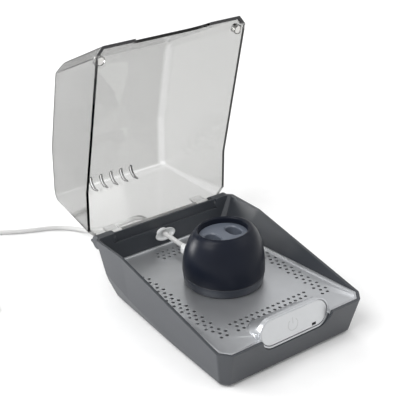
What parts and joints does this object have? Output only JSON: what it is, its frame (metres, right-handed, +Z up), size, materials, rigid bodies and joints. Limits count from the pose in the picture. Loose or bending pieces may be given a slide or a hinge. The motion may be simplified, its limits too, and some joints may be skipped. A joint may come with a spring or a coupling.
{
  "type": "hearing aid dryer",
  "caption": "Desktop dryer for hearing aids: wedge base with a perforated metal tray and heated air, clear hinged lid, one wide button and a lift-off charging dock.",
  "frame": {"origin": "on the table under the middle of the dryer with its lid standing open", "axes": "+X to the user's right, +Y to the back, +Z up; the button side faces -Y"},
  "size_m": [0.1983, 0.2943, 0.1883],
  "materials": {
    "base_plastic": "fine spark-eroded satin",
    "rubber": "matte",
    "screw_steel": "plated",
    "magnet": "nickel plated",
    "pin_steel": "ground",
    "tray_metal": "satin silver",
    "button_plastic": "satin silver",
    "window": "smoked gloss",
    "switch_plastic": "moulded",
    "circuit_board": "solder mask",
    "lid_clear": "clear, faintly smoked, polished",
    "fan_plastic": "moulded",
    "stator_metal": "laminated",
    "bracket_steel": "zinc plated",
    "heater_aluminium": "mill",
    "inlet_plastic": "moulded",
    "dock_plastic": "soft gloss",
    "cradle_plastic": "satin",
    "contact_gold": "gold plated",
    "white_plastic": "soft gloss",
    "white_cord": "satin"
  },
  "bodies": {
    "base": {"base_shell": "base_plastic", "bottom_cover": "base_plastic", "rubber_feet": "rubber", "cover_screws": "screw_steel", "catch_magnets": "magnet", "hinge_pins": "pin_steel", "tray": "tray_metal", "tact_switch": "switch_plastic", "button_board": "circuit_board", "fan_frame": "fan_plastic", "fan_stator": "stator_metal", "heater_bracket": "bracket_steel", "heater_element": "heater_aluminium", "control_board": "circuit_board", "power_inlet": "inlet_plastic", "dock_plug": "white_plastic", "dock_plug_tip": "screw_steel", "dock_lead": "white_cord", "wall_grommet": "white_plastic", "power_cord": "white_cord", "cord_coil": "white_cord", "cord_tail": "white_cord", "usb_plug_body": "white_plastic", "usb_plug_shell": "screw_steel"},
    "lid": {"lid_shell": "lid_clear", "lid_magnets": "magnet"},
    "button": {"power_button": "button_plastic", "led_window": "window", "switch_plunger": "switch_plastic"},
    "fan": {"fan_impeller": "fan_plastic"},
    "dock": {"dock_base_ring": "dock_plastic", "dock_receptacle": "screw_steel", "dock_body": "dock_plastic", "dock_cradle": "cradle_plastic", "charging_contacts": "contact_gold", "dock_board": "circuit_board"}
  },
  "joints": [
    {"name": "lid_hinge", "type": "hinge", "parent": "base", "child": "lid", "pos_m": [0, 0.03835, 0.043], "axis": [1, 0, 0], "range_deg": [0, 89.2]},
    {"name": "button_press", "type": "slide", "parent": "base", "child": "button", "axis": [0, 0.9903, -0.1392], "range_m": [0, 0.0008], "stiffness_N_per_m": 500},
    {"name": "fan_spin", "type": "hinge", "parent": "base", "child": "fan", "pos_m": [0, -0.05865, 0.01], "axis": [0, 0, 1], "continuous": true},
    {"name": "dock_pull", "type": "slide", "parent": "base", "child": "dock", "axis": [0, -1, 0], "range_m": [0, 0.02]}
  ]
}
